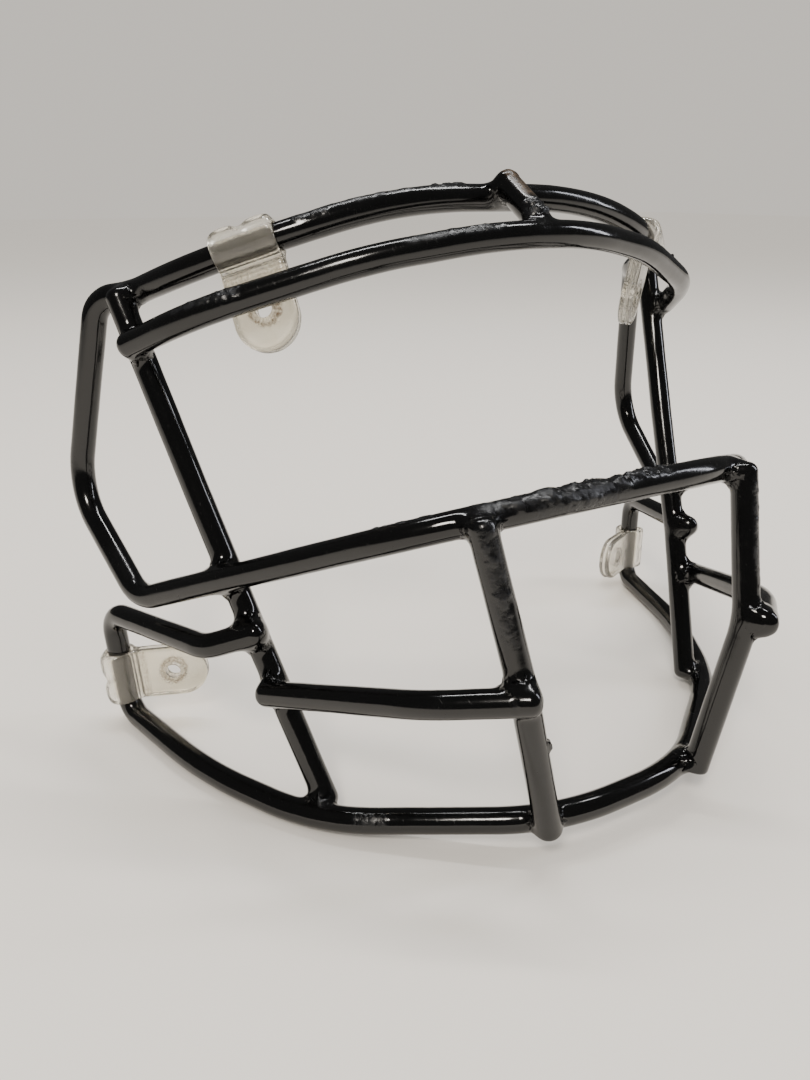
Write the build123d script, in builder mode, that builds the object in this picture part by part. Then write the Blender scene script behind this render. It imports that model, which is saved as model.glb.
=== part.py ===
"""Football facemask: a welded steel wire cage, dipped in vinyl, with four clear loop straps.

Frame: millimetres, +Z up, +X to the wearer's left, the wearer looks along -Y. The cage
stands on its chin bar, and the origin is under the middle of its box.
"""

from build123d import *
import os

os.makedirs("parts", exist_ok=True)

# Bars: quarter-inch wire under a dipped coat.
WIRE_RADIUS = 6.35 / 2
COAT_THICKNESS = 0.85
BAR_RADIUS = WIRE_RADIUS + COAT_THICKNESS
END_DIP = 2.5

# Heights and depths that several bars share.
REST = BAR_RADIUS
REAR_BROW = (0, 11, 181.5)
FRONT_BROW = (0, -13.5, 172)
NOSE = (0, -58, 108.5)
CHIN = (0, -71.5, 13)

# Each bar on the wearer's left: the points where it turns, and the radius of each turn.
# A bar that crosses the middle starts at x = 0 and is mirrored.
EYE_LOOP = (
    [REAR_BROW, (33.5, 11, 181.5), (86.5, 25, 166.3), (103.5, 58.5, 153.5), (113, 68, 151.5),
     (126, 79, 86), (117, 38, 59), (62, -45.5, 102), (30.5, -58, 108.5), NOSE],
    [120, 78, 33, 10, 22, 13, 45, 60],
)
BROW_BAR = (
    [FRONT_BROW, (16, -13.5, 172), (51.5, -2, 166), (94.5, 20, 151.5), (109.5, 42.5, 140.5)],
    [83, 120, 56],
)
CHIN_BAR = (
    [CHIN, (25, -71.5, 13), (84.5, -28.5, REST), (108, 11, REST), (122.6, 59.5, REST),
     (123.8, 62.5, 44.4), (104.3, 8.5, 52.5), (90.5, -2.5, 59.5)],
    [60, 90, 150, 8, 9, 14],
)
CENTRE_LINK = ([(0, 6.8, 185.8), (0, -9.5, 176.5)], [])
SIDE_UPRIGHT = (
    [(108.5, 54.5, 153.5), (98, 26, 98.5), (89.5, 2.5, 55.5), (78.5, -22.5, 5.4)],
    [60, 40],
)
MOUTH_UPRIGHT = ([(47.6, -57.5, 106.1), (42, -72, 63), (30, -72.6, 13.5)], [40])
MID_BAR = ([(91.2, -8.3, 41), (64.5, -60.5, 59.6), (43, -77.4, 64)], [40])

SHARED_BARS = {
    "eye_loop": EYE_LOOP,
    "brow_bar": BROW_BAR,
    "chin_bar": CHIN_BAR,
    "centre_link": CENTRE_LINK,
}
PAIRED_BARS = {
    "side_upright": SIDE_UPRIGHT,
    "mouth_upright": MOUTH_UPRIGHT,
    "mid_bar": MID_BAR,
}

# Loop strap: a barrel that hugs a bar, and two leaves that a screw draws together.
STRAP_WIDTH = 19.5
STRAP_LENGTH = 31.0
STRAP_BORE = 4.7
BARREL_RADIUS = 6.7
BARREL_SHIFT = 0.8
LEAF_THICKNESS = 2.0
LEAF_GAP = 1.0
SCREW_RADIUS = 2.6
SCREW_REACH = 18.5
HUMP_RISE = 1.2
NOTCH_DEPTH = 2.2

# Where the straps sit: distance along the bar's route from x = 0, and the way the leaves
# point, both given as on the wearer's left. A strap is loose, so the upper two differ.
STRAP_SEATS = {
    "left_upper_strap": (EYE_LOOP, 88, (-0.304, -0.132, -0.944)),
    "right_upper_strap": (EYE_LOOP, 80, (-0.063, -0.445, -0.893)),
    "left_lower_strap": (CHIN_BAR, 206, (-0.9, -0.42, 0.12)),
    "right_lower_strap": (CHIN_BAR, 206, (-0.9, -0.42, 0.12)),
}


def crosses_middle(bar):
    """Whether the bar's route starts at x = 0 and goes on, mirrored, on the other side."""
    return bar is not CENTRE_LINK and bar[0][0][0] == 0


def stretched(bar, overrun):
    """The bar with its free ends run on, straight, by a little."""
    points = [Vector(*point) for point in bar[0]]
    if not crosses_middle(bar):
        points[0] += (points[0] - points[1]).normalized() * overrun
    if bar is not EYE_LOOP:
        points[-1] += (points[-1] - points[-2]).normalized() * overrun
    return points


def centreline(bar, overrun=0):
    """The bar's route: straight runs joined by tangent arcs."""
    points = stretched(bar, overrun)
    with BuildLine() as route:
        if len(points) > 2:
            FilletPolyline(*points, radius=bar[1])
        else:
            Line(*points)
    return route.wire()


def round_bar(bar, radius, overrun):
    """A round section swept along a bar, and mirrored if the bar crosses the middle."""
    line = centreline(bar, overrun)
    with BuildPart() as piece:
        with BuildSketch(Plane(origin=line @ 0, z_dir=line % 0)):
            Circle(radius)
        sweep(path=line)
        if crosses_middle(bar):
            mirror(about=Plane.YZ)
    return piece.part


def less(piece, others):
    """The piece with every solid that reaches into its box taken away."""
    box = piece.bounding_box()
    with BuildPart() as rest:
        add(piece)
        for other in others:
            reach = other.bounding_box()
            apart = any(
                low > high
                for low, high in zip((*box.min, *reach.min), (*reach.max, *box.max))
            )
            if not apart:
                add(other, mode=Mode.SUBTRACT)
    return rest.part


def mirrored(piece):
    """The same piece on the wearer's right."""
    with BuildPart() as twin:
        mirror(piece, about=Plane.YZ)
    return twin.part


def strap_seat(seat):
    """Axis point, bar direction and leaf direction of a strap on its bar."""
    bar, distance, towards = seat
    line = centreline(bar)
    half = STRAP_WIDTH / 2
    low, middle, high = (
        line.position_at(distance + step, PositionMode.LENGTH) for step in (-half, 0, half)
    )
    along = (high - low).normalized()
    centre = (middle + (low + high) / 2) / 2
    wish = Vector(*towards)
    leaf = (wish - along * wish.dot(along)).normalized()
    return centre, along, leaf


def loop_strap(seat):
    """A clear strap folded round a bar, with a notched back and a screw hole through both leaves."""
    centre, along, leaf = strap_seat(seat)
    section = Plane(origin=centre, x_dir=leaf, z_dir=along)
    face = Plane(origin=centre, x_dir=leaf, z_dir=along.cross(leaf))
    half = STRAP_WIDTH / 2
    back = BARREL_RADIUS + BARREL_SHIFT
    total = 2 * LEAF_THICKNESS + LEAF_GAP
    nose = STRAP_LENGTH - half
    with BuildPart() as strap:
        with BuildSketch(section):
            with Locations((-BARREL_SHIFT, 0)):
                Circle(BARREL_RADIUS)
            with Locations((STRAP_LENGTH / 2, 0)):
                Rectangle(STRAP_LENGTH, total)
        extrude(amount=half, both=True)
        with BuildSketch(face):
            with BuildLine():
                Polyline(
                    (nose, half), (HUMP_RISE - back, half), (-back, half / 2), (NOTCH_DEPTH - back, 0),
                    (-back, -half / 2), (HUMP_RISE - back, -half), (nose, -half),
                )
                ThreePointArc((nose, -half), (STRAP_LENGTH, 0), (nose, half))
            make_face()
        extrude(amount=back, both=True, mode=Mode.INTERSECT)
        with BuildSketch(section):
            Circle(STRAP_BORE)
            with Locations((STRAP_LENGTH / 2, 0)):
                Rectangle(STRAP_LENGTH + 1, LEAF_GAP)
        extrude(amount=half, both=True, mode=Mode.SUBTRACT)
        with BuildSketch(face):
            with Locations((SCREW_REACH, 0)):
                Circle(SCREW_RADIUS)
        extrude(amount=total, both=True, mode=Mode.SUBTRACT)
    return strap.part


def write(piece, name):
    """Label a finished piece and write it to its own file."""
    piece.label = name
    export_step(piece, f"parts/{name}.step")


def build_bars(radius, overrun):
    """Every bar at one radius, by name: those that cross the middle, then the pairs."""
    built = {name: round_bar(bar, radius, overrun) for name, bar in SHARED_BARS.items()}
    for name, bar in PAIRED_BARS.items():
        left = round_bar(bar, radius, overrun)
        built[f"left_{name}"] = left
        built[f"right_{name}"] = mirrored(left)
    return built


def one_by_one(pieces, taken):
    """Cut each piece by the solids already there, so that neighbours meet face to face."""
    finished = {}
    for name, piece in pieces.items():
        finished[name] = less(piece, taken)
        taken = [*taken, piece]
    return finished


def main():
    bare = build_bars(WIRE_RADIUS, overrun=0)
    for name, wire in one_by_one(bare, []).items():
        write(wire, f"{name}_wire")

    dipped = build_bars(BAR_RADIUS, overrun=END_DIP)
    for name, coat in one_by_one(dipped, list(bare.values())).items():
        write(coat, f"{name}_coat")

    for name, seat in STRAP_SEATS.items():
        strap = loop_strap(seat)
        write(mirrored(strap) if name.startswith("right") else strap, name)


main()
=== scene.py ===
"""Football facemask: a welded steel wire cage dipped in black vinyl, with four clear loop straps.

Every bar's vinyl sleeve is rebuilt as a skin that flows into its neighbours at the welds, swells
and dips as a hot-dipped coat does, and carries the knocks of a used mask. The straps are rebuilt
with their humped backs, creases, slit leaves and screw holes. Shapes are worked out in
millimetres and written in metres.
"""

import logging
import math
from abc import ABC, abstractmethod
from collections.abc import Callable, Sequence
from dataclasses import dataclass, field
from enum import Enum
from itertools import product

import bpy
import numpy as np
from mathutils import Matrix, Vector


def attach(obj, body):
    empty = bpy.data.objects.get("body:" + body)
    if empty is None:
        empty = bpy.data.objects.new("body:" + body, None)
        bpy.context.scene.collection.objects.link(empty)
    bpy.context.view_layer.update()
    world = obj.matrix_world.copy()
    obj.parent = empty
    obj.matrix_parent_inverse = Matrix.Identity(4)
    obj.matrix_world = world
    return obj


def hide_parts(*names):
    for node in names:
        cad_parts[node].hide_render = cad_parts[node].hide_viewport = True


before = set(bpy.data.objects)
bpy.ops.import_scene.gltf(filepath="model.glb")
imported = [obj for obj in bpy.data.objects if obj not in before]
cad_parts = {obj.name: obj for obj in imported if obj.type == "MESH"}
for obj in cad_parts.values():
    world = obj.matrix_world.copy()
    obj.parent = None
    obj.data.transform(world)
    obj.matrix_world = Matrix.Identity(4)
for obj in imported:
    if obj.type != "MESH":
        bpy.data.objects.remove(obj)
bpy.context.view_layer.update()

LOG = logging.getLogger("facemask")
MM = 0.001
# Half the span over which a distance's slope is measured, in millimetres.
PROBE_MM = 0.02

Triple = tuple[float, float, float]
Array = np.ndarray


# --- Small mathematics ---------------------------------------------------------------------


def unit(vectors: Array) -> Array:
    """Vectors over their own lengths, along the last axis."""
    return vectors / np.linalg.norm(vectors, axis=-1, keepdims=True)


def ramp(value: Array, low: float, high: float) -> Array:
    """Smooth step: 0 below low, 1 above high, 3t^2 - 2t^3 between."""
    part = np.clip((value - low) / (high - low), 0.0, 1.0)
    return part * part * (3.0 - 2.0 * part)


def bell(value: Array, width: float) -> Array:
    """Gaussian hump of height 1 about zero, exp(-(value / width)^2)."""
    return np.exp(-((value / width) ** 2))


def soft_min(one: Array, other: Array, width: float) -> Array:
    """The lesser of two distances, rounded over where they differ by less than width."""
    near = np.maximum(width - np.abs(one - other), 0.0) / width
    return np.minimum(one, other) - near * near * width / 4.0


def soft_max(one: Array, other: Array, width: float) -> Array:
    """The greater of two distances, rounded over where they differ by less than width."""
    return -soft_min(-one, -other, width)


def lattice_noise(points: Array, cell: float, seed: int) -> Array:
    """Smooth noise from -1 to 1: hashed lattice numbers blended by a quintic step.

    Args:
        points: places in millimetres, one a row.
        cell: the lattice's spacing in millimetres.
        seed: picks one pattern.

    Returns:
        One number a place.
    """
    scaled = points / cell + 1000.0
    base = np.floor(scaled).astype(np.int64)
    part = scaled - base
    part = part**3 * (part * (part * 6.0 - 15.0) + 10.0)
    total = np.zeros(points.shape[:-1])
    for corner in product((0, 1), repeat=3):
        key = ((base + corner) * (73856093, 19349663, 83492791)).sum(axis=-1) + seed * 7919
        key = ((key ^ (key >> 13)) * 1274126177) & 0xFFFFFFFF
        key = ((key ^ (key >> 15)) * 2246822519) & 0xFFFFFFFF
        share = np.prod(np.where(corner, part, 1.0 - part), axis=-1)
        total += share * ((key ^ (key >> 16)) & 0xFFFF) / 65535.0
    return 2.0 * total - 1.0


def layered_noise(points: Array, cell: float, seed: int, layers: int = 3) -> Array:
    """Noise with finer layers added, each half the cell and half the height of the last."""
    heights = [0.5**layer for layer in range(layers)]
    parts = [
        height * lattice_noise(points, cell * height, seed + layer)
        for layer, height in enumerate(heights)
    ]
    return sum(parts) / sum(heights)


def segment_distance(points: Array, starts: Array, spans: Array) -> Array:
    """Distance from each point to the nearest of several straight segments.

    Args:
        points: places, one a row.
        starts: each segment's first end.
        spans: each segment's vector to its other end.

    Returns:
        One distance a place.
    """
    offset = points[:, None, :] - starts[None, :, :]
    along = np.einsum("nmk,mk->nm", offset, spans) / np.einsum("mk,mk->m", spans, spans)
    gap = offset - np.clip(along, 0.0, 1.0)[..., None] * spans[None, :, :]
    return np.sqrt(np.einsum("nmk,nmk->nm", gap, gap).min(axis=1))


# --- Meshes --------------------------------------------------------------------------------


def make_piece(
    name: str, points: Array, faces: Array, fans: Sequence[Array] = (), **attributes: Array
) -> bpy.types.Object:
    """Make a smooth-shaded mesh object from whole arrays.

    Args:
        name: the piece's name.
        points: its vertices in millimetres.
        faces: its four-sided faces, as vertex numbers.
        fans: further faces of any number of sides, such as triangles round a pole.
        attributes: a number a vertex for each attribute that its material reads.

    Returns:
        The object, at the origin, with its place in its mesh.
    """
    mesh = bpy.data.meshes.new(name)
    every = [row.tolist() for row in faces] + [row.tolist() for fan in fans for row in fan]
    mesh.from_pydata((points * MM).tolist(), [], every)
    for key, values in attributes.items():
        layer = mesh.attributes.new(key, "FLOAT", "POINT")
        layer.data.foreach_set("value", np.ascontiguousarray(values, dtype=np.float32))
    mesh.shade_smooth()
    mesh.update()
    piece = bpy.data.objects.new(name, mesh)
    bpy.context.scene.collection.objects.link(piece)
    return piece


def tube_faces(rings: int, sides: int, closed: bool) -> Array:
    """Four-sided faces of a grid of rings, wrapped round, and end to end if it is closed."""
    ring, side = np.meshgrid(np.arange(rings if closed else rings - 1), np.arange(sides), indexing="ij")
    after, beside = (ring + 1) % rings, (side + 1) % sides
    corners = (ring * sides + side, ring * sides + beside, after * sides + beside, after * sides + side)
    return np.stack(corners, axis=-1).reshape(-1, 4)


def pole_fan(first: int, sides: int, pole: int, turned: bool) -> Array:
    """Triangles that close a tube's end ring on to one pole vertex."""
    side = first + np.arange(sides)
    beside = first + (np.arange(sides) + 1) % sides
    tip = np.full(sides, pole)
    return np.stack((side, beside, tip) if turned else (beside, side, tip), axis=-1)


def surface_net(
    distance: Callable[[Array], Array], low: Array, high: Array, step: float
) -> tuple[Array, Array]:
    """Mesh the zero level of a distance: a vertex in each cell it crosses, then slid on to the level.

    Args:
        distance: signed distance in millimetres, negative inside, of places one a row.
        low: the lattice's lowest corner.
        high: its highest corner.
        step: its spacing.

    Returns:
        Vertices, and four-sided faces that point outwards.
    """
    axes = [np.arange(low[axis], high[axis] + step, step) for axis in range(3)]
    grid = np.stack(np.meshgrid(*axes, indexing="ij"), axis=-1)
    value = distance(grid.reshape(-1, 3)).reshape(grid.shape[:3])
    cells = tuple(size - 1 for size in value.shape)
    total, count = np.zeros((*cells, 3)), np.zeros(cells)
    crossings = []
    for axis in range(3):
        ahead, behind = [slice(None)] * 3, [slice(None)] * 3
        ahead[axis], behind[axis] = slice(1, None), slice(None, -1)
        here, there = value[tuple(behind)], value[tuple(ahead)]
        crossed = (here < 0) != (there < 0)
        part = np.where(crossed, here / np.where(crossed, here - there, 1.0), 0.0)
        crossings.append((crossed, here < 0))
        others = [other for other in range(3) if other != axis]
        for shift in product((0, 1), repeat=2):
            window: list[slice] = [slice(None)] * 3
            for other, by in zip(others, shift):
                window[other] = slice(by, by + cells[other])
            seen = crossed[tuple(window)]
            count += seen
            total[..., axis] += part[tuple(window)]
            for other, by in zip(others, shift):
                total[..., other] += seen * by
    used = count > 0
    number = np.full(cells, -1)
    number[used] = np.arange(used.sum())
    points = low + (np.argwhere(used) + total[used] / count[used][:, None]) * step
    faces = []
    for axis, (crossed, inside) in enumerate(crossings):
        first, second = [other for other in range(3) if other != axis]
        place = np.argwhere(crossed)
        keep = (place[:, first] > 0) & (place[:, second] > 0)
        keep &= (place[:, first] < cells[first]) & (place[:, second] < cells[second])
        place = place[keep]
        out = inside[tuple(place.T)]
        back_first, back_second = np.eye(3, dtype=int)[first], np.eye(3, dtype=int)[second]
        ring = [place - back_first - back_second, place - back_second, place, place - back_first]
        quad = np.stack([number[tuple(corner.T)] for corner in ring], axis=1)
        turned = out if axis != 1 else ~out
        faces.append(np.where(turned[:, None], quad, quad[:, ::-1]))
    for _ in range(3):
        level = distance(points)
        probes = [PROBE_MM * way for way in np.eye(3)]
        rises = [distance(points + probe) - distance(points - probe) for probe in probes]
        slope = np.stack([rise / (2.0 * PROBE_MM) for rise in rises], axis=1)
        steep = np.maximum((slope * slope).sum(axis=1), 0.2)
        points = points - np.clip(level / steep, -0.3 * step, 0.3 * step)[:, None] * slope
    return points, np.concatenate(faces)


# --- Materials -----------------------------------------------------------------------------


def linear(code: str) -> tuple[float, float, float, float]:
    """An sRGB hex colour as linear red, green, blue and a full alpha."""
    parts = [int(code[place : place + 2], 16) / 255.0 for place in (1, 3, 5)]
    red, green, blue = (
        part / 12.92 if part <= 0.04045 else ((part + 0.055) / 1.055) ** 2.4 for part in parts
    )
    return red, green, blue, 1.0


def add_node(
    tree: bpy.types.NodeTree, kind: str, settings: dict[str, object] | None = None, **inputs: object
) -> bpy.types.Node:
    """Add one shader node, set it and link it.

    Args:
        tree: the material's node tree.
        kind: the node's type.
        settings: its own settings by name.
        inputs: its inputs, spaces written as underscores and a place as in_0. A socket is linked
            and anything else is set.

    Returns:
        The new node.
    """
    node = tree.nodes.new(kind)
    for key, value in (settings or {}).items():
        setattr(node, key, value)
    for key, value in inputs.items():
        socket = node.inputs[int(key[3:])] if key.startswith("in_") else node.inputs[key.replace("_", " ")]
        if isinstance(value, bpy.types.NodeSocket):
            tree.links.new(value, socket)
        else:
            socket.default_value = value
    return node


@dataclass(frozen=True)
class Finish(ABC):
    """One finish: a named material that is built once."""

    name: str

    def material(self) -> bpy.types.Material:
        """The finish's material, made on first use."""
        known = bpy.data.materials.get(self.name)
        if known is not None:
            return known
        made = bpy.data.materials.new(self.name)
        made.use_nodes = True
        made.node_tree.nodes.clear()
        self.fill(made.node_tree)
        return made

    def dress(self, piece: bpy.types.Object) -> None:
        """Give a piece this finish alone."""
        piece.data.materials.clear()
        piece.data.materials.append(self.material())

    @abstractmethod
    def fill(self, tree: bpy.types.NodeTree) -> None:
        """Lay out the material's nodes."""


@dataclass(frozen=True)
class DippedVinyl(Finish):
    """Plastisol vinyl, hot-dipped: deep black and wet-looking, with a faint orange peel.

    Where it is torn it shows a paler, dull blue-grey, and where it is rubbed, a tan polish.
    """

    black: str = "#060606"
    torn: str = "#1B1C20"
    tan: str = "#5C4B38"
    ior: float = 1.53
    peel_mm: float = 3.2
    cloud_mm: float = 16.0
    grain_mm: float = 0.9
    scratch_mm: float = 0.5
    worn_roughness: float = 0.3
    rubbed_roughness: float = 0.24

    def fill(self, tree: bpy.types.NodeTree) -> None:
        """Colour from wear and rubbing, roughness from handling haze, bump from peel and tears."""
        place = add_node(tree, "ShaderNodeTexCoord").outputs["Object"]
        wear = add_node(tree, "ShaderNodeAttribute", {"attribute_name": "wear"}).outputs["Fac"]
        rub = add_node(tree, "ShaderNodeAttribute", {"attribute_name": "rub"}).outputs["Fac"]
        cloud = add_node(tree, "ShaderNodeTexNoise", Vector=place, Scale=1000 / self.cloud_mm, Detail=3.0)
        grain = add_node(
            tree, "ShaderNodeTexNoise", Vector=place, Scale=1000 / self.grain_mm, Detail=3.0, Roughness=0.7
        )
        mottle = add_node(
            tree, "ShaderNodeMapRange", Value=grain.outputs["Fac"], From_Min=0.35, From_Max=0.7, To_Max=1.0
        )
        torn = add_node(
            tree, "ShaderNodeMath", {"operation": "MULTIPLY"}, in_0=wear, in_1=mottle.outputs["Result"]
        )
        skin = add_node(
            tree, "ShaderNodeMix", {"data_type": "RGBA"},
            in_0=torn.outputs[0], in_6=linear(self.black), in_7=linear(self.torn),
        )
        polish = add_node(
            tree, "ShaderNodeMath", {"operation": "MULTIPLY"}, in_0=rub, in_1=mottle.outputs["Result"]
        )
        colour = add_node(
            tree, "ShaderNodeMix", {"data_type": "RGBA"},
            in_0=polish.outputs[0], in_6=skin.outputs[2], in_7=linear(self.tan),
        )
        # Fine drawn-out scratches: noise squeezed to hairlines, coarse enough to show.
        drawn = add_node(
            tree, "ShaderNodeMapping", Vector=place, Scale=(1.0, 0.12, 0.3), Rotation=(0.4, 0.7, 0.3)
        )
        hair = add_node(
            tree, "ShaderNodeTexNoise", Vector=drawn.outputs[0], Scale=1000 / self.scratch_mm, Detail=2.0
        )
        lines = add_node(
            tree, "ShaderNodeMapRange", Value=hair.outputs["Fac"], From_Min=0.62, From_Max=0.74, To_Max=0.16
        )
        haze = add_node(
            tree, "ShaderNodeMapRange", Value=cloud.outputs["Fac"],
            From_Min=0.3, From_Max=0.72, To_Min=0.07, To_Max=0.17,
        )
        dull = add_node(
            tree, "ShaderNodeMath", {"operation": "MULTIPLY_ADD"},
            in_0=wear, in_1=self.worn_roughness, in_2=haze.outputs[0],
        )
        rubbed = add_node(
            tree, "ShaderNodeMath", {"operation": "MULTIPLY_ADD"},
            in_0=rub, in_1=self.rubbed_roughness, in_2=dull.outputs[0],
        )
        rough = add_node(
            tree, "ShaderNodeMath", {"operation": "ADD", "use_clamp": True},
            in_0=rubbed.outputs[0], in_1=lines.outputs[0],
        )
        peel = add_node(tree, "ShaderNodeTexNoise", Vector=place, Scale=1000 / self.peel_mm, Detail=2.0)
        swell = add_node(tree, "ShaderNodeBump", Strength=0.22, Distance=0.00012, Height=peel.outputs["Fac"])
        ripped = add_node(
            tree, "ShaderNodeMath", {"operation": "MULTIPLY"}, in_0=wear, in_1=grain.outputs["Fac"]
        )
        bump = add_node(
            tree, "ShaderNodeBump", Strength=0.7, Distance=0.0003,
            Height=ripped.outputs[0], Normal=swell.outputs["Normal"],
        )
        vinyl = add_node(
            tree, "ShaderNodeBsdfPrincipled", Base_Color=colour.outputs[2], Roughness=rough.outputs[0],
            IOR=self.ior, Normal=bump.outputs["Normal"],
        )
        add_node(tree, "ShaderNodeOutputMaterial", Surface=vinyl.outputs[0])


@dataclass(frozen=True)
class ClearUrethane(Finish):
    """Moulded clear urethane, aged: see-through, milky inside, warm at its edges.

    It lets lamps through to the floor, as the real straps throw only a pale shadow. Grime sits
    in the creases and in the ring that the screw head has worn.
    """

    clear: str = "#FDFBF5"
    milk: str = "#F1ECDD"
    grime: str = "#75604A"
    ior: float = 1.49
    blotch_mm: float = 5.0
    speck_mm: float = 0.7
    clarity: float = 0.96
    shadow: str = "#E9E4D8"
    shadow_pass: float = 0.85

    def fill(self, tree: bpy.types.NodeTree) -> None:
        """Tint and haze from slow blotches, specks of grime from an attribute, soft handling dents."""
        place = add_node(tree, "ShaderNodeTexCoord").outputs["Object"]
        soil = add_node(tree, "ShaderNodeAttribute", {"attribute_name": "soil"}).outputs["Fac"]
        blotch = add_node(tree, "ShaderNodeTexNoise", Vector=place, Scale=1000 / self.blotch_mm, Detail=3.0)
        fine = add_node(tree, "ShaderNodeTexNoise", Vector=place, Scale=1000 / self.speck_mm, Detail=2.0)
        tint = add_node(
            tree, "ShaderNodeMix", {"data_type": "RGBA"},
            in_0=blotch.outputs["Fac"], in_6=linear(self.clear), in_7=linear(self.milk),
        )
        specks = add_node(
            tree, "ShaderNodeMapRange", Value=fine.outputs["Fac"], From_Min=0.42, From_Max=0.6, To_Max=1.0
        )
        dirty = add_node(tree, "ShaderNodeMath", {"operation": "MULTIPLY"}, in_0=soil, in_1=specks.outputs[0])
        colour = add_node(
            tree, "ShaderNodeMix", {"data_type": "RGBA"},
            in_0=dirty.outputs[0], in_6=tint.outputs[2], in_7=linear(self.grime),
        )
        haze = add_node(
            tree, "ShaderNodeMapRange", Value=blotch.outputs["Fac"],
            From_Min=0.3, From_Max=0.7, To_Min=0.04, To_Max=0.15,
        )
        rough = add_node(
            tree, "ShaderNodeMath", {"operation": "MULTIPLY_ADD", "use_clamp": True},
            in_0=soil, in_1=0.2, in_2=haze.outputs[0],
        )
        dents = add_node(tree, "ShaderNodeBump", Strength=0.25, Distance=0.0002, Height=fine.outputs["Fac"])
        plastic = add_node(
            tree, "ShaderNodeBsdfPrincipled", Base_Color=colour.outputs[2], Roughness=rough.outputs[0],
            IOR=self.ior, Transmission_Weight=self.clarity, Normal=dents.outputs["Normal"],
        )
        lamp = add_node(tree, "ShaderNodeLightPath").outputs["Is Shadow Ray"]
        share = add_node(
            tree, "ShaderNodeMath", {"operation": "MULTIPLY"}, in_0=lamp, in_1=self.shadow_pass
        )
        through = add_node(tree, "ShaderNodeBsdfTransparent", Color=linear(self.shadow))
        mixed = add_node(
            tree, "ShaderNodeMixShader",
            in_0=share.outputs[0], in_1=plastic.outputs[0], in_2=through.outputs[0],
        )
        add_node(tree, "ShaderNodeOutputMaterial", Surface=mixed.outputs[0])


@dataclass(frozen=True)
class DrawnSteel(Finish):
    """Drawn mild steel wire, sealed under the vinyl: a grey, unevenly bright metal."""

    grey: str = "#8E9093"
    dark: str = "#6F7174"
    streak_mm: float = 1.5

    def fill(self, tree: bpy.types.NodeTree) -> None:
        """Grey steel, mottled in its colour and roughness."""
        place = add_node(tree, "ShaderNodeTexCoord").outputs["Object"]
        streak = add_node(tree, "ShaderNodeTexNoise", Vector=place, Scale=1000 / self.streak_mm, Detail=3.0)
        colour = add_node(
            tree, "ShaderNodeMix", {"data_type": "RGBA"},
            in_0=streak.outputs["Fac"], in_6=linear(self.grey), in_7=linear(self.dark),
        )
        rough = add_node(
            tree, "ShaderNodeMapRange", Value=streak.outputs["Fac"], To_Min=0.28, To_Max=0.45
        )
        steel = add_node(
            tree, "ShaderNodeBsdfPrincipled",
            Base_Color=colour.outputs[2], Metallic=1.0, Roughness=rough.outputs[0],
        )
        add_node(tree, "ShaderNodeOutputMaterial", Surface=steel.outputs[0])


@dataclass(frozen=True)
class PalePaper(Finish):
    """The studio's matt paper floor."""

    white: str = "#EBE5DC"

    def fill(self, tree: bpy.types.NodeTree) -> None:
        """A plain matt white."""
        paper = add_node(
            tree, "ShaderNodeBsdfPrincipled",
            Base_Color=linear(self.white), Roughness=0.9, Specular_IOR_Level=0.0,
        )
        add_node(tree, "ShaderNodeOutputMaterial", Surface=paper.outputs[0])


VINYL = DippedVinyl("hot_dipped_black_vinyl")
URETHANE = ClearUrethane("moulded_clear_urethane")
STEEL = DrawnSteel("drawn_steel_wire")
PAPER = PalePaper("studio_paper")


# --- Bars ----------------------------------------------------------------------------------

BAR_RADIUS = 4.025
END_DIP = 2.5


class End(Enum):
    """How a bar's dipped end is shaped: the cap's depth in mm, and its roundness exponent."""

    DOMED = (3.5, 2.4)
    BLUNT = (2.4, 3.6)


class Wear(Enum):
    """What happened to the coat at a mark."""

    TORN = "flaps and cuts"
    NOTCHED = "one clean groove or dent"
    SPIKED = "little burrs that stand up"
    PRICKED = "one pointed burr"
    RUBBED = "polished down to a tan shine"
    SWOLLEN = "a smooth lump of thicker vinyl"


@dataclass(frozen=True)
class Mark:
    """One mark on a bar: where along it, which way it faces, and how large it is, in mm."""

    wear: Wear
    at: float
    facing: Triple
    length: float
    spread: float
    size: float
    grain: float = 2.0


def rounded(corners: Array, radii: Sequence[float]) -> Array:
    """A line whose corners are turned by tangent arcs: centre + spoke cos t + way sin t."""
    line = [corners[:1]]
    for before, corner, after, radius in zip(corners[:-2], corners[1:-1], corners[2:], radii):
        back, ahead = unit(before - corner), unit(after - corner)
        half = math.acos(float(back @ ahead)) / 2.0
        centre = corner + unit(back + ahead) * radius / math.sin(half)
        spoke = corner + back * radius / math.tan(half) - centre
        turn = np.linspace(0.0, math.pi - 2.0 * half, 12 + int(radius / 4.0))[:, None]
        line.append(centre + spoke * np.cos(turn) - back * radius * np.sin(turn))
    line.append(corners[-1:])
    return np.concatenate(line)


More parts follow.
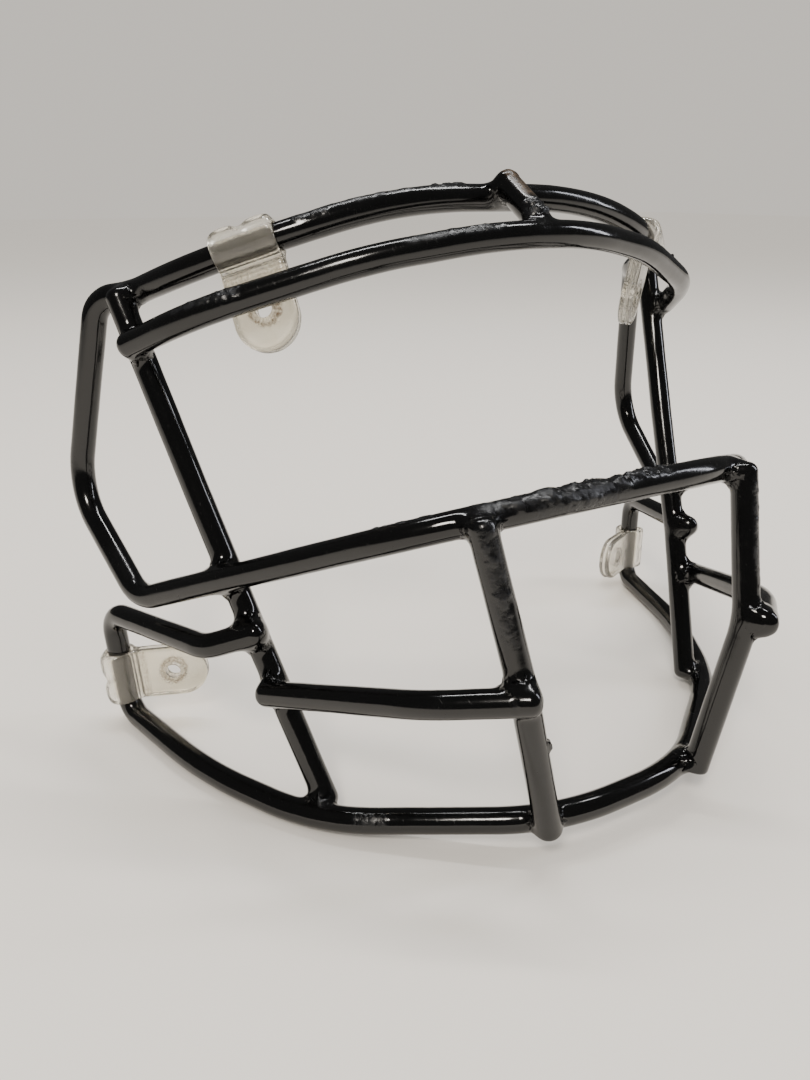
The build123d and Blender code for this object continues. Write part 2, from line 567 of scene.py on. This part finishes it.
@dataclass
class Route:
    """A bar's centreline, measured from its start, or from the middle if it crosses it."""

    line: Array
    closed: bool
    origin: float = 0.0
    distance: Array = field(init=False)

    def __post_init__(self) -> None:
        """Measure the line."""
        steps = np.linalg.norm(np.diff(self.line, axis=0), axis=1)
        self.distance = np.concatenate(([0.0], np.cumsum(steps))) - self.origin

    @property
    def ends(self) -> tuple[float, float]:
        """The measures at the two ends."""
        return float(self.distance[0]), float(self.distance[-1])

    def at(self, measure: Array) -> Array:
        """Points at these measures, run on straight past the ends."""
        low, high = self.ends
        columns = [np.interp(measure, self.distance, column) for column in self.line.T]
        points = np.stack(columns, axis=-1)
        if self.closed:
            return points
        first, last = unit(self.line[0] - self.line[1]), unit(self.line[-1] - self.line[-2])
        points = points + np.maximum(low - measure, 0.0)[:, None] * first
        return points + np.maximum(measure - high, 0.0)[:, None] * last

    def frames(self, measure: Array) -> tuple[Array, Array, Array]:
        """Tangents and two normals, carried along the line without twist.

        Each normal is the last one less its share along the new tangent; on a closed line the
        turn left over at the join is spread evenly.
        """
        reach = 0.4
        if self.closed:
            low, high = self.ends
            wrapped = [(measure + step - low) % (high - low) + low for step in (reach, -reach)]
            tangent = unit(self.at(wrapped[0]) - self.at(wrapped[1]))
        else:
            tangent = unit(self.at(measure + reach) - self.at(measure - reach))
        guess = np.eye(3)[np.abs(tangent[0]).argmin()]
        normal = np.empty_like(tangent)
        for row, way in enumerate(tangent):
            guess = guess - way * (guess @ way)
            guess = guess / math.sqrt(float(guess @ guess))
            normal[row] = guess
        if self.closed:
            last = normal[-1] - tangent[0] * float(normal[-1] @ tangent[0])
            slip = math.atan2(float(np.cross(normal[0], last) @ tangent[0]), float(normal[0] @ last))
            back = (-slip * np.linspace(0.0, 1.0, len(measure)))[:, None]
            normal = normal * np.cos(back) + np.cross(tangent, normal) * np.sin(back)
        return tangent, normal, np.cross(tangent, normal)


@dataclass
class Bar:
    """One bar of the cage, and the vinyl sleeve that is dipped on it."""

    name: str
    corners: list[Triple]
    radii: list[float]
    ends: tuple[End, End] = (End.DOMED, End.DOMED)
    crosses: bool = False
    closed: bool = False
    flipped: bool = False
    marks: list[Mark] = field(default_factory=list)
    sides: int = 48
    route: Route = field(init=False)

    def __post_init__(self) -> None:
        """Round the corners and mirror the line where the bar crosses the middle."""
        line = rounded(np.array(self.corners, float), self.radii)
        other = line * (-1.0, 1.0, 1.0)
        if not self.crosses:
            self.route = Route(other if self.flipped else line, False)
            return
        half = float(np.linalg.norm(np.diff(line, axis=0), axis=1).sum())
        self.route = Route(np.concatenate((other[:0:-1], line)), self.closed, half)

    def samples(self, step: float = 1.5) -> tuple[Array, Array]:
        """Segment starts and spans along the bar, short of its rounded ends."""
        low, high = self.route.ends
        trim = 0.0 if self.closed else BAR_RADIUS - END_DIP
        stops = np.linspace(low + trim, high - trim, max(4, int((high - low) / step)))
        points = self.route.at(stops)
        return points[:-1], np.diff(points, axis=0)


@dataclass
class Cage:
    """The welded cage: ten bars whose sleeves blend where they cross."""

    bars: list[Bar]
    blend: float = 4.6
    reach: float = 4.5
    coarse: float = 1.2
    fine: float = 0.45
    finest: float = 0.32

    def neighbours(self, bar: Bar) -> tuple[Array, Array]:
        """Segments of every other bar."""
        pairs = [other.samples() for other in self.bars if other is not bar]
        return np.concatenate([pair[0] for pair in pairs]), np.concatenate([pair[1] for pair in pairs])

    def stations(self, bar: Bar, starts: Array, spans: Array) -> Array:
        """Ring places along a bar, closer together at welds and marks.

        The places are evenly spaced in the running total of one over the wanted spacing.
        """
        low, high = bar.route.ends
        extra = 0.0 if bar.closed else END_DIP
        fine_grid = np.linspace(low - extra, high + extra, int((high - low) * 4) + 8)
        spacing = np.full(len(fine_grid), self.coarse)
        near = segment_distance(bar.route.at(fine_grid), starts, spans) < 2.0 * BAR_RADIUS + 3.5
        spacing[near] = self.fine
        for mark in bar.marks:
            tight = self.finest if mark.wear in (Wear.TORN, Wear.SPIKED, Wear.PRICKED) else self.fine
            close = self.gap(bar, fine_grid, mark.at) < mark.length * 1.6 + 1.0
            spacing[close] = np.minimum(spacing[close], tight)
        total = np.concatenate(([0.0], np.cumsum(np.diff(fine_grid) / spacing[1:])))
        rings = max(8, int(total[-1]))
        return np.interp(np.linspace(0.0, total[-1], rings + 1), total, fine_grid)

    @staticmethod
    def gap(bar: Bar, measure: Array, at: float) -> Array:
        """Distance along the bar from a place, the shorter way round a closed bar."""
        gap = np.abs(measure - at)
        if bar.closed:
            low, high = bar.route.ends
            gap = np.minimum(gap, (high - low) - gap)
        return gap

    def capped(self, bar: Bar, stations: Array) -> tuple[Array, Array]:
        """Stations and nominal radii with each end closed by a superellipse cap."""
        radii = np.full(len(stations), BAR_RADIUS)
        if bar.closed:
            return stations[:-1], radii[:-1]
        low, high = stations[0], stations[-1]
        angle = np.radians(np.array([4, 10, 18, 28, 38, 48, 58, 68, 78, 85]))
        shapes = []
        for end in bar.ends:
            depth, power = end.value
            reach = depth * (1.0 - np.cos(angle) ** (2.0 / power))
            shapes.append((depth, reach, BAR_RADIUS * np.sin(angle) ** (2.0 / power)))
        (first, in_first, round_first), (last, in_last, round_last) = shapes
        body = stations[(stations > low + first) & (stations < high - last)]
        every = np.concatenate((low + in_first, body, (high - in_last)[::-1]))
        return every, np.concatenate((round_first, np.full(len(body), BAR_RADIUS), round_last[::-1]))

    def blended(self, centres: Array, ways: Array, nominal: Array, starts: Array, spans: Array) -> Array:
        """Radii at which rays from the centreline leave the soft union of all the bars.

        Each ray walks out by the distance left to the surface. A ray that doesn't come out within
        reach is inside another bar, and keeps the nominal radius, out of sight.

        Args:
            centres: ring centres.
            ways: ray directions, ring by side.
            nominal: each ring's own radius.
            starts: other bars' segment starts.
            spans: their spans.

        Returns:
            A radius a ray, ring by side.
        """
        radius = np.repeat(nominal[:, None], ways.shape[1], axis=1)
        near = segment_distance(centres, starts, spans) < 2.0 * BAR_RADIUS + self.blend
        edges = np.flatnonzero(np.diff(np.concatenate(([0], near.astype(int), [0]))))
        for first, last in zip(edges[::2], edges[1::2]):
            rows = slice(first, last)
            middle = centres[rows].mean(axis=0)
            span = np.linalg.norm(centres[rows] - middle, axis=1).max()
            local = np.linalg.norm(starts - middle, axis=1) < span + 18.0
            rays = ways[rows].reshape(-1, 3)
            roots = np.repeat(centres[rows], ways.shape[1], axis=0)
            base = radius[rows].reshape(-1)
            out = base.copy()
            for _ in range(22):
                other = segment_distance(roots + rays * out[:, None], starts[local], spans[local])
                left = soft_min(out - base, other - BAR_RADIUS, self.blend)
                out = np.minimum(out - left, base + self.reach + 0.5)
            hidden = out > base + self.reach
            radius[rows] = np.where(hidden, base, out).reshape(last - first, -1)
        return radius

    @staticmethod
    def relief(bar: Bar, measure: Array, skin: Array, ways: Array) -> tuple[Array, Array, Array]:
        """Height that the coat stands proud by, and how worn and how rubbed it is.

        The sum of slow dip waves and each mark's pattern inside its window, which fades along
        the bar and round it.

        Args:
            bar: the bar.
            measure: each ring's place along it.
            skin: the smooth skin's points, ring by side.
            ways: outward directions, ring by side.

        Returns:
            Height in mm, wear from 0 to 1, and rubbing from 0 to 1.
        """
        flat = skin.reshape(-1, 3)
        shape = skin.shape[:2]
        height = 0.07 * layered_noise(flat, 17.0, 11, 2) + 0.03 * layered_noise(flat, 5.0, 23, 2)
        height = height.reshape(shape)
        wear = 0.12 * ramp(layered_noise(flat, 22.0, 31, 2).reshape(shape), 0.25, 0.6)
        rub = np.zeros(shape)
        for number, mark in enumerate(bar.marks):
            gap = Cage.gap(bar, measure, mark.at)[:, None]
            facing = unit(np.array(mark.facing, float))
            off = np.arccos(np.clip(ways @ facing, -1.0, 1.0))
            window = ramp(mark.length * 1.25 - gap, 0.0, mark.length * 0.5)
            spread = math.radians(mark.spread)
            window = window * ramp(spread * 1.2 - off, 0.0, spread * 0.6)
            rows = np.flatnonzero(window.max(axis=1) > 0.0)
            if not len(rows):
                continue
            part, here = window[rows], skin[rows].reshape(-1, 3)
            seed = 101 + 17 * number
            lumps = layered_noise(here, mark.grain, seed, 3).reshape(part.shape)
            chips = lattice_noise(here, mark.grain * 0.45, seed + 5).reshape(part.shape)
            if mark.wear is Wear.TORN:
                flaps = np.clip(lumps * 2.4, 0.0, 1.0) ** 1.5
                cuts = np.clip(-lumps * 2.2 + 0.1, 0.0, 1.0)
                height[rows] += part * mark.size * (flaps * (1.0 + 0.5 * chips) - 0.55 * cuts)
                raw = np.clip(0.35 + 0.9 * np.abs(lumps) * 1.6, 0.0, 1.0)
                wear[rows] = np.maximum(wear[rows], part * raw)
            elif mark.wear is Wear.NOTCHED:
                height[rows] -= part * mark.size
                wear[rows] = np.maximum(wear[rows], 0.35 * part)
            elif mark.wear is Wear.SPIKED:
                burrs = np.clip((lumps - 0.12) * 3.2, 0.0, 1.0) ** 1.3
                height[rows] += part * mark.size * burrs
                wear[rows] = np.maximum(wear[rows], 0.5 * part)
            elif mark.wear is Wear.PRICKED:
                height[rows] += part**1.6 * mark.size
            elif mark.wear is Wear.RUBBED:
                height[rows] -= part * mark.size * (0.6 + 0.4 * lumps)
                rub[rows] = np.maximum(rub[rows], part)
            else:
                height[rows] += part * part * mark.size * (1.0 + 0.35 * lumps)
        return height, wear, rub

    def sleeve(self, bar: Bar) -> bpy.types.Object:
        """The bar's vinyl sleeve as one closed skin of rings along the bar."""
        starts, spans = self.neighbours(bar)
        measure, nominal = self.capped(bar, self.stations(bar, starts, spans))
        centres = bar.route.at(measure)
        _, normal, across = bar.route.frames(measure)
        turn = np.linspace(0.0, 2.0 * math.pi, bar.sides, endpoint=False)[None, :, None]
        ways = normal[:, None, :] * np.cos(turn) + across[:, None, :] * np.sin(turn)
        radius = self.blended(centres, ways, nominal, starts, spans)
        skin = centres[:, None, :] + ways * radius[..., None]
        height, wear, rub = self.relief(bar, measure, skin, ways)
        height = height * ramp(nominal, 0.0, BAR_RADIUS)[:, None]
        skin = skin + ways * height[..., None]
        rings, sides = skin.shape[:2]
        points = skin.reshape(-1, 3)
        fans = []
        if not bar.closed:
            poles = np.stack((skin[0].mean(axis=0), skin[-1].mean(axis=0)))
            outward = unit(poles - np.stack((skin[1].mean(axis=0), skin[-2].mean(axis=0))))
            points = np.concatenate((points, poles + 0.02 * outward))
            fans = [
                pole_fan(0, sides, rings * sides, False),
                pole_fan((rings - 1) * sides, sides, rings * sides + 1, True),
            ]
            wear = np.concatenate((wear.reshape(-1), wear[[0, -1]].mean(axis=1)))
            rub = np.concatenate((rub.reshape(-1), rub[[0, -1]].mean(axis=1)))
        piece = make_piece(
            f"{bar.name}_dipped_sleeve", points, tube_faces(rings, sides, bar.closed), fans,
            wear=wear.reshape(-1), rub=rub.reshape(-1),
        )
        VINYL.dress(piece)
        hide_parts(f"{bar.name}_coat")
        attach(piece, "cage")
        return piece

    def build(self) -> None:
        """Build every sleeve and dress the wires sealed inside."""
        for bar in self.bars:
            piece = self.sleeve(bar)
            LOG.info("%s: %d vertices", piece.name, len(piece.data.vertices))
            STEEL.dress(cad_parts[f"{bar.name}_wire"])


# --- Straps --------------------------------------------------------------------------------


@dataclass
class LoopStrap:
    """A clear strap folded round a bar: barrel, two leaves with a slit, and a screw hole."""

    name: str
    centre: Triple
    along: Triple
    leaf: Triple
    width: float = 19.5
    length: float = 31.0
    bore: float = 4.7
    barrel: float = 6.7
    shift: float = 0.8
    leaf_half: float = 2.5
    slit: float = 1.0
    hole: float = 2.6
    hole_at: float = 18.5
    notch: float = 2.4
    step: float = 0.32

    def distance(self, places: Array) -> Array:
        """Signed distance to the strap: (barrel or leaves) and outline, less bore, slit and hole.

        In the strap's own axes: x along the leaf, y through it, z along the bar.
        """
        along, through, across = places.T
        half = self.width / 2.0
        rho = np.hypot(along - self.hole_at, across)
        edge = half - np.hypot(np.maximum(along - self.length + half, 0.0), across)
        panel = 0.12 * ramp(edge, 1.3, 2.3) * ramp(along, 9.2, 10.2)
        print_ring = 0.14 * ramp(5.0 - rho, 0.0, 0.8)
        creases = 0.16 * bell(along - 7.0, 0.5) + 0.1 * bell(along - 8.6, 0.45)
        sag = 0.25 * ((along - 7.0) / 24.0) ** 2
        half_thick = self.leaf_half - panel - print_ring - creases
        leaves = np.maximum(np.abs(through - sag) - half_thick, -along)
        round_back = np.hypot(along + self.shift, through) - self.barrel
        body = soft_min(round_back, leaves, 1.8)
        back = -(self.barrel + self.shift) + self.notch * bell(across, 2.6) - along
        past = along - self.length + half
        tip = np.where(along > self.length - half, np.hypot(past, across), np.abs(across)) - half
        outline = soft_max(tip, back, 4.5)
        solid = soft_max(body, outline, 1.5)
        solid = soft_max(solid, self.bore - np.hypot(along, through), 0.7)
        solid = soft_max(solid, -np.maximum(np.abs(through - sag) - self.slit / 2.0, -along), 0.4)
        return soft_max(solid, self.hole - rho, 0.7)

    def soil(self, places: Array) -> Array:
        """Grime from 0 to 1: a ring round the screw hole, the creases and a band round the bore's wall."""
        along, through, across = places.T
        rho = np.hypot(along - self.hole_at, across)
        ring = ramp(rho, self.hole - 0.2, self.hole + 0.4) * ramp(5.2 - rho, 0.0, 1.2)
        worn = 0.9 * bell(rho - 4.6, 0.5) + 0.55 * ring
        crease = 0.55 * bell(along - 8.5, 0.5) + 0.3 * bell(along - 7.0, 0.5)
        noise = 0.5 + 0.5 * layered_noise(places, 1.8, 57, 2)
        inside = 0.35 * bell(np.hypot(along, through) - self.bore, 0.5)
        return np.clip((worn + crease + inside) * (0.35 + 0.9 * noise), 0.0, 1.0)

    def build(self) -> bpy.types.Object:
        """Mesh the strap in its own axes and lay it on its bar."""
        low = np.array((-self.barrel - self.shift - 1.0, -self.barrel - 1.0, -self.width / 2.0 - 1.0))
        high = np.array((self.length + 1.0, self.barrel + 1.0, self.width / 2.0 + 1.0))
        places, faces = surface_net(self.distance, low, high, self.step)
        along, leaf = unit(np.array(self.along)), unit(np.array(self.leaf))
        leaf = unit(leaf - along * (leaf @ along))
        axes = np.stack((leaf, np.cross(along, leaf), along))
        if np.linalg.det(axes) < 0.0:
            faces = faces[:, ::-1]
        piece = make_piece(
            f"{self.name}_moulding", np.array(self.centre) + places @ axes, faces, soil=self.soil(places)
        )
        URETHANE.dress(piece)
        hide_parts(self.name)
        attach(piece, self.name)
        LOG.info("%s: %d vertices", piece.name, len(piece.data.vertices))
        return piece


# --- Studio --------------------------------------------------------------------------------


@dataclass
class Softbox:
    """A soft area lamp that faces a point."""

    name: str
    place: Triple
    size: tuple[float, float]
    power: float
    colour: str = "#FFFFFF"
    target: Triple = (0.0, 0.0, 0.09)

    def build(self) -> None:
        """Hang the lamp and turn it to its target."""
        lamp = bpy.data.lights.new(self.name, "AREA")
        lamp.shape, (lamp.size, lamp.size_y) = "RECTANGLE", self.size
        lamp.energy, lamp.color = self.power, linear(self.colour)[:3]
        holder = bpy.data.objects.new(self.name, lamp)
        holder.location = self.place
        holder.rotation_euler = (Vector(self.target) - Vector(self.place)).to_track_quat("-Z", "Y").to_euler()
        bpy.context.scene.collection.objects.link(holder)


@dataclass
class Studio:
    """Pale floor, camera and soft lamps."""

    eye: Triple = (-0.1554, -0.2139, 0.1836)
    right: Triple = (0.87722, -0.48008, 0.00286)
    down: Triple = (-0.18751, -0.34809, -0.91852)
    ahead: Triple = (0.44196, 0.80520, -0.39537)
    lens: float = 27.083
    floor_half: float = 6.0
    sky: str = "#F1F0EE"
    backdrop: str = "#EBE5DC"
    backdrop_glow: float = 0.9
    sky_glow: float = 1.0
    mirrored_glow: float = 0.1

    def build(self) -> None:
        """Lay the floor, hang the lamps and set the camera."""
        half = self.floor_half * 1000.0
        square = np.array([(-half, -half, 0.0), (half, -half, 0.0), (half, half, 0.0), (-half, half, 0.0)])
        floor = make_piece("studio_floor", square, np.array([[0, 1, 2, 3]]))
        PAPER.dress(floor)
        self.camera()
        self.world()
        for box in (
            Softbox("key_softbox", (-0.75, -0.75, 1.25), (0.3, 0.3), 13.0, "#FFF8EE"),
            Softbox("overhead_strip", (0.2, 0.3, 1.35), (1.2, 0.07), 11.0, "#FFFFFF"),
            Softbox("right_fill", (1.3, -0.5, 0.8), (0.14, 0.9), 6.0, "#F4F6FF"),
        ):
            box.build()

    def camera(self) -> None:
        """A phone's wide lens, close in front on the wearer's right, looking down at the mask."""
        lens = bpy.data.cameras.new("camera")
        lens.sensor_fit, lens.sensor_height, lens.lens = "VERTICAL", 36.0, self.lens
        lens.clip_start = 0.01
        holder = bpy.data.objects.new("camera", lens)
        up, back = [-part for part in self.down], [-part for part in self.ahead]
        turn = Matrix((self.right, up, back)).transposed()
        holder.matrix_world = Matrix.Translation(self.eye) @ turn.to_4x4()
        bpy.context.scene.collection.objects.link(holder)
        bpy.context.scene.camera = holder

    def world(self) -> None:
        """A pale backdrop, and a dimmer sky round the mask so that its gloss keeps its contrast."""
        sky = bpy.data.worlds.new("studio_sky")
        sky.use_nodes = True
        tree = sky.node_tree
        tree.nodes.clear()
        path = add_node(tree, "ShaderNodeLightPath").outputs
        backdrop = add_node(
            tree, "ShaderNodeBackground", Color=linear(self.backdrop), Strength=self.backdrop_glow
        )
        soft = add_node(tree, "ShaderNodeBackground", Color=linear(self.sky), Strength=self.sky_glow)
        dim = add_node(tree, "ShaderNodeBackground", Color=linear(self.sky), Strength=self.mirrored_glow)
        lit = add_node(
            tree, "ShaderNodeMixShader", in_0=path["Is Glossy Ray"], in_1=soft.outputs[0], in_2=dim.outputs[0]
        )
        seen = add_node(
            tree, "ShaderNodeMath", {"operation": "MAXIMUM"},
            in_0=path["Is Camera Ray"], in_1=path["Is Transmission Ray"],
        )
        whole = add_node(
            tree, "ShaderNodeMixShader", in_0=seen.outputs[0], in_1=lit.outputs[0], in_2=backdrop.outputs[0]
        )
        add_node(tree, "ShaderNodeOutputWorld", Surface=whole.outputs[0])
        bpy.context.scene.world = sky


# --- The facemask --------------------------------------------------------------------------

FACE = (-0.35, -0.8, 0.45)
CREST = (-0.05, -0.2, 0.98)
OUTER = (0.88, -0.48, 0.0)


def cage_bars() -> list[Bar]:
    """Every bar of the cage, with its marks measured along it from the middle or its start."""
    eye_loop = Bar(
        "eye_loop",
        [(0, 11, 181.5), (33.5, 11, 181.5), (86.5, 25, 166.3), (103.5, 58.5, 153.5), (113, 68, 151.5),
         (126, 79, 86), (117, 38, 59), (62, -45.5, 102), (30.5, -58, 108.5), (0, -58, 108.5)],
        [120, 78, 33, 10, 22, 13, 45, 60],
        crosses=True, closed=True, sides=56,
        marks=[
            Mark(Wear.TORN, -399, CREST, 23, 58, 0.34, 4.6),
            Mark(Wear.TORN, -414, (0, 0.1, 1), 16, 38, 0.7, 3.2),
            Mark(Wear.TORN, -405, (-0.3, -0.9, 0.2), 14, 45, 0.26, 3.2),
            Mark(Wear.TORN, 417, (0, 0, 1), 8, 45, 0.5, 2.6),
            Mark(Wear.TORN, -338, FACE, 4, 32, 0.22, 1.8),
            Mark(Wear.TORN, -357, (0, 0.2, 1), 9, 24, 0.18, 2.6),
            Mark(Wear.SPIKED, -18, (0.1, 0.35, 1), 6, 30, 0.5, 1.8),
            Mark(Wear.TORN, -38, (0, 0, 1), 24, 36, 0.11, 3.6),
            Mark(Wear.TORN, -60, (-0.1, -0.3, 0.9), 5, 36, 0.16, 2.0),
        ],
    )
    brow_bar = Bar(
        "brow_bar",
        [(0, -13.5, 172), (16, -13.5, 172), (51.5, -2, 166), (94.5, 20, 151.5), (109.5, 42.5, 140.5)],
        [83, 120, 56],
        crosses=True,
        marks=[
            Mark(Wear.TORN, -92.5, (-0.3, -0.5, 0.8), 3.4, 40, 0.5, 2.0),
            Mark(Wear.TORN, -102, (-0.3, -0.4, 0.85), 9, 34, 0.24, 2.8),
            Mark(Wear.TORN, -28, (-0.1, -0.4, 0.9), 13, 34, 0.2, 2.8),
            Mark(Wear.NOTCHED, 30, FACE, 1.1, 17, 0.4),
            Mark(Wear.TORN, 66, (0.1, -0.2, 1), 20, 32, 0.12, 3.0),
            Mark(Wear.PRICKED, 77, (0.6, -0.2, 0.8), 0.9, 12, 2.1),
            Mark(Wear.PRICKED, 100.5, OUTER, 0.7, 10, 1.1),
            Mark(Wear.PRICKED, 107, OUTER, 0.9, 13, 1.8),
        ],
    )
    chin_bar = Bar(
        "chin_bar",
        [(0, -71.5, 13), (25, -71.5, 13), (84.5, -28.5, 4.025), (108, 11, 4.025), (122.6, 59.5, 4.025),
         (123.8, 62.5, 44.4), (104.3, 8.5, 52.5), (90.5, -2.5, 59.5)],
        [60, 90, 150, 8, 9, 14],
        crosses=True,
        marks=[
            Mark(Wear.NOTCHED, -48.5, (-0.4, -0.8, 0.4), 0.6, 9, 0.3),
            Mark(Wear.NOTCHED, -52, (-0.4, -0.7, 0.6), 0.5, 8, 0.25),
            Mark(Wear.TORN, -80, (-0.5, -0.5, 0.6), 5, 26, 0.12, 2.0),
        ],
    )
    link = Bar(
        "centre_link", [(0, 6.8, 185.8), (0, -9.5, 176.5)], [],
        marks=[
            Mark(Wear.RUBBED, 5, (0, -0.5, 0.87), 8, 34, 0.25, 2.0),
            Mark(Wear.TORN, 18, (0, -0.9, 0.4), 3.5, 80, 0.5, 1.9),
            Mark(Wear.SWOLLEN, -1, (0, 0.5, 0.87), 3, 80, 0.5, 3.0),
        ],
    )
    bars = [eye_loop, brow_bar, chin_bar, link]
    upright = [(108.5, 54.5, 153.5), (98, 26, 98.5), (89.5, 2.5, 55.5), (78.5, -22.5, 5.4)]
    mouth = [(47.6, -57.5, 106.1), (42, -72, 63), (30, -72.6, 13.5)]
    mid = [(91.2, -8.3, 41), (64.5, -60.5, 59.6), (43, -77.4, 64)]
    near_mouth = [
        Mark(Wear.TORN, 9, FACE, 10, 44, 0.22, 3.2),
        Mark(Wear.TORN, 24, (-0.5, -0.8, 0), 8, 36, 0.1, 2.6),
        Mark(Wear.SWOLLEN, 65, OUTER, 1.6, 22, 0.9, 2.0),
    ]
    far_mouth = [
        Mark(Wear.TORN, 17, (0.3, -0.9, 0.1), 13, 40, 0.12, 3.0),
        Mark(Wear.TORN, 36, (0.6, -0.7, 0), 9, 34, 0.1, 2.6),
    ]
    near_mid = [
        Mark(Wear.NOTCHED, 15, FACE, 0.9, 16, 0.3),
        Mark(Wear.NOTCHED, 84.5, (-0.4, -0.8, 0.3), 0.7, 30, 0.25),
        Mark(Wear.SWOLLEN, 88, OUTER, 1.6, 30, 0.6, 2.0),
    ]
    far_mid = [Mark(Wear.SWOLLEN, 86.5, (0.3, -0.9, 0.0), 4, 120, 0.3, 4.0)]
    for side, flipped in (("left", False), ("right", True)):
        bars.append(Bar(f"{side}_side_upright", upright, [60, 40], flipped=flipped))
        bars.append(
            Bar(f"{side}_mouth_upright", mouth, [40], (End.DOMED, End.BLUNT), flipped=flipped,
                marks=near_mouth if flipped else far_mouth)
        )
        bars.append(
            Bar(f"{side}_mid_bar", mid, [40], flipped=flipped, marks=near_mid if flipped else far_mid)
        )
    return bars


def loop_straps() -> list[LoopStrap]:
    """The four straps: two on the rear brow and two on the upright stretch of the chin bar's loops.

    Each seat is the barrel's centre, the bar's direction there and the leaf's, as on the left.
    """
    upper_near = (
        (75.768, 25.977, 168.336), (0.801356, 0.510681, -0.311502), (-0.063364, -0.445345, -0.893114)
    )
    upper_far = (
        (81.913, 30.374, 165.816), (0.739525, 0.591966, -0.320435), (-0.303509, -0.131661, -0.943688)
    )
    lower = (
        (123.042, 60.594, 19.369), (0.032438, 0.083425, 0.995986), (-0.902813, -0.425092, 0.06501)
    )
    straps = [LoopStrap("left_upper_strap", *upper_far), LoopStrap("left_lower_strap", *lower)]
    for level, left in (("upper", upper_near), ("lower", lower)):
        straps.append(LoopStrap(f"right_{level}_strap", *[(-part[0], part[1], part[2]) for part in left]))
    return straps


def main() -> None:
    """Build the cage, the straps and the studio."""
    logging.basicConfig(level=logging.INFO, format="%(name)s: %(message)s")
    Cage(cage_bars()).build()
    for strap in loop_straps():
        strap.build()
    Studio().build()


if __name__ == "__main__":
    main()
